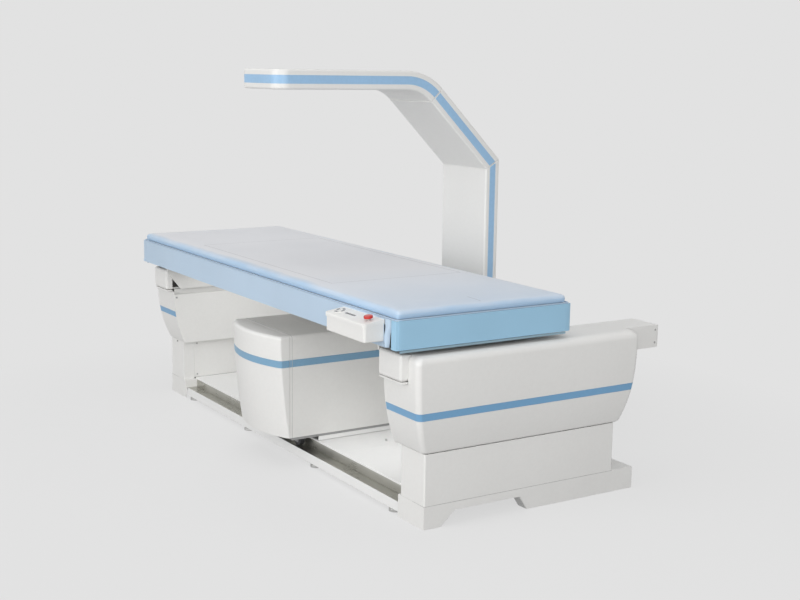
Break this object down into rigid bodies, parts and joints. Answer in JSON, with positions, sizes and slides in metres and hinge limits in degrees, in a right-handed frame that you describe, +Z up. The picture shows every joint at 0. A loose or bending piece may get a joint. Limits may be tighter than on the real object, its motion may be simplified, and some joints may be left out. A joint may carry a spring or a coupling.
{
  "type": "bone densitometer",
  "caption": "Scanning table on two flared pedestals, with a C-shaped detector arm on a sliding X-ray carriage under the table, blue trim, key pad and stop button.",
  "frame": {"origin": "bottom centre of the bounding box, on the floor", "axes": "+X along the table towards the control box, +Y from the operator's side to the column, +Z up"},
  "size_m": [1.994, 1.0918, 1.328],
  "materials": {
    "white_cover": "satin off-white enamel on formed covers",
    "panel_grey": "satin light grey enamel",
    "stripe_blue": "blue inlaid trim strip, satin",
    "skirt_blue": "pale blue flexible vinyl skirt, satin",
    "pad_vinyl": "light grey coated fabric over foam",
    "steel": "brushed stainless and zinc plated steel",
    "dark_plastic": "black moulded plastic",
    "key_grey": "dark grey moulded keys",
    "red_plastic": "glossy red moulded plastic",
    "dark_window": "smoked gloss plastic",
    "belt_rubber": "black moulded rubber"
  },
  "bodies": {
    "base": {"base_frame": "steel", "levelling_feet": "steel", "end_plinths": "white_cover", "side_plates": "white_cover", "front_rail": "steel", "deck_panels": "white_cover", "scanner_rail": "steel", "drive_belt": "belt_rubber", "drive_motor": "dark_plastic", "pedestal_frames": "panel_grey", "lower_covers": "white_cover", "lower_panels": "panel_grey", "upper_shell_left": "white_cover", "upper_shell_right": "white_cover", "upper_panels": "panel_grey", "shell_stripes": "stripe_blue", "cross_beams": "white_cover", "beam_caps": "white_cover", "table_rails": "steel", "table_motors": "dark_plastic", "mains_inlet": "dark_plastic"},
    "rocker": {"mains_switch": "dark_plastic"},
    "scanner": {"scanner_carriage": "steel", "scanner_housing": "panel_grey", "scanner_front_cover": "white_cover", "scanner_stripe": "stripe_blue", "xray_window": "panel_grey", "xray_tank": "panel_grey", "guide_blocks": "steel", "column_frame": "steel", "column_cover": "white_cover", "diagonal_cover": "white_cover", "arm_cover": "white_cover", "trim_strip": "stripe_blue", "detector": "dark_plastic"},
    "shutter_vane": {"shutter": "steel"},
    "roller_left": {"front_roller_left": "dark_plastic"},
    "roller_right": {"front_roller_right": "dark_plastic"},
    "belt_drive_pulley": {"drive_pulley": "steel"},
    "belt_idler_pulley": {"idler_pulley": "steel"},
    "table": {"table_frame": "steel", "tabletop": "panel_grey", "mattress_pad": "pad_vinyl", "skirt_front": "skirt_blue", "skirt_rear": "skirt_blue", "skirt_left": "skirt_blue", "skirt_right": "skirt_blue", "table_runners": "panel_grey", "bearing_blocks": "steel", "control_box": "white_cover", "control_lid": "white_cover", "indicator_window": "dark_window"},
    "screw_left": {"leadscrew_left": "steel"},
    "screw_right": {"leadscrew_right": "steel"},
    "button_left": {"key_left": "key_grey"},
    "button_right": {"key_right": "key_grey"},
    "button_in": {"key_in": "key_grey"},
    "button_out": {"key_out": "key_grey"},
    "stop_stem": {"estop_stem": "steel"},
    "stop_head": {"estop_head": "red_plastic"}
  },
  "joints": [
    {"name": "scanner_slide", "type": "slide", "parent": "base", "child": "scanner", "axis": [1, 0, 0], "range_m": [-0.6, 0.5]},
    {"name": "roller_left_spin", "type": "hinge", "parent": "scanner", "child": "roller_left", "pos_m": [-0.029, -0.337, 0.0653], "axis": [0, 1, 0], "range_deg": [-1380, 1150]},
    {"name": "roller_right_spin", "type": "hinge", "parent": "scanner", "child": "roller_right", "pos_m": [0.121, -0.337, 0.0653], "axis": [0, 1, 0], "range_deg": [-1380, 1150]},
    {"name": "drive_pulley_spin", "type": "hinge", "parent": "base", "child": "belt_drive_pulley", "pos_m": [-0.79, 0.4255, 0.052], "axis": [0, 1, 0], "range_deg": [-2870, 2392]},
    {"name": "idler_pulley_spin", "type": "hinge", "parent": "base", "child": "belt_idler_pulley", "pos_m": [0.79, 0.4255, 0.052], "axis": [0, 1, 0], "range_deg": [-2870, 2392]},
    {"name": "shutter_swing", "type": "hinge", "parent": "scanner", "child": "shutter_vane", "pos_m": [0.106, -0.1645, 0.352], "axis": [0, 0, 1], "range_deg": [0, 50], "stiffness_Nm_per_rad": 0.05},
    {"name": "table_slide", "type": "slide", "parent": "base", "child": "table", "axis": [0, 1, 0], "range_m": [0, 0.22]},
    {"name": "screw_left_spin", "type": "hinge", "parent": "base", "child": "screw_left", "pos_m": [-0.868, 0, 0.508], "axis": [0, 1, 0], "range_deg": [-3970, 5]},
    {"name": "screw_right_spin", "type": "hinge", "parent": "base", "child": "screw_right", "pos_m": [0.868, 0, 0.508], "axis": [0, 1, 0], "range_deg": [-3970, 5]},
    {"name": "stop_push", "type": "slide", "parent": "table", "child": "stop_stem", "axis": [0, -0.1445, 0.9895], "range_m": [-0.004, 0]},
    {"name": "stop_twist", "type": "hinge", "parent": "stop_stem", "child": "stop_head", "pos_m": [0.88, -0.51155, 0.628], "axis": [0, -0.1445, 0.9895], "range_deg": [0, 45], "stiffness_Nm_per_rad": 0.02},
    {"name": "key_left_press", "type": "slide", "parent": "table", "child": "button_left", "axis": [0, -0.1445, 0.9895], "range_m": [-0.0012, 0], "stiffness_N_per_m": 200},
    {"name": "key_right_press", "type": "slide", "parent": "table", "child": "button_right", "axis": [0, -0.1445, 0.9895], "range_m": [-0.0012, 0], "stiffness_N_per_m": 200},
    {"name": "key_in_press", "type": "slide", "parent": "table", "child": "button_in", "axis": [0, -0.1445, 0.9895], "range_m": [-0.0012, 0], "stiffness_N_per_m": 200},
    {"name": "key_out_press", "type": "slide", "parent": "table", "child": "button_out", "axis": [0, -0.1445, 0.9895], "range_m": [-0.0012, 0], "stiffness_N_per_m": 200},
    {"name": "mains_rock", "type": "hinge", "parent": "base", "child": "rocker", "pos_m": [0.874, 0.436, 0.034], "axis": [1, 0, 0], "range_deg": [-16, 0]}
  ],
  "couplings": [
    {"joint": "roller_left_spin", "follows": "scanner_slide", "rad_per_m": 40},
    {"joint": "roller_right_spin", "follows": "scanner_slide", "rad_per_m": 40},
    {"joint": "drive_pulley_spin", "follows": "scanner_slide", "rad_per_m": 83.333},
    {"joint": "idler_pulley_spin", "follows": "scanner_slide", "rad_per_m": 83.333},
    {"joint": "screw_left_spin", "follows": "table_slide", "rad_per_m": -314.16},
    {"joint": "screw_right_spin", "follows": "table_slide", "rad_per_m": -314.16}
  ]
}
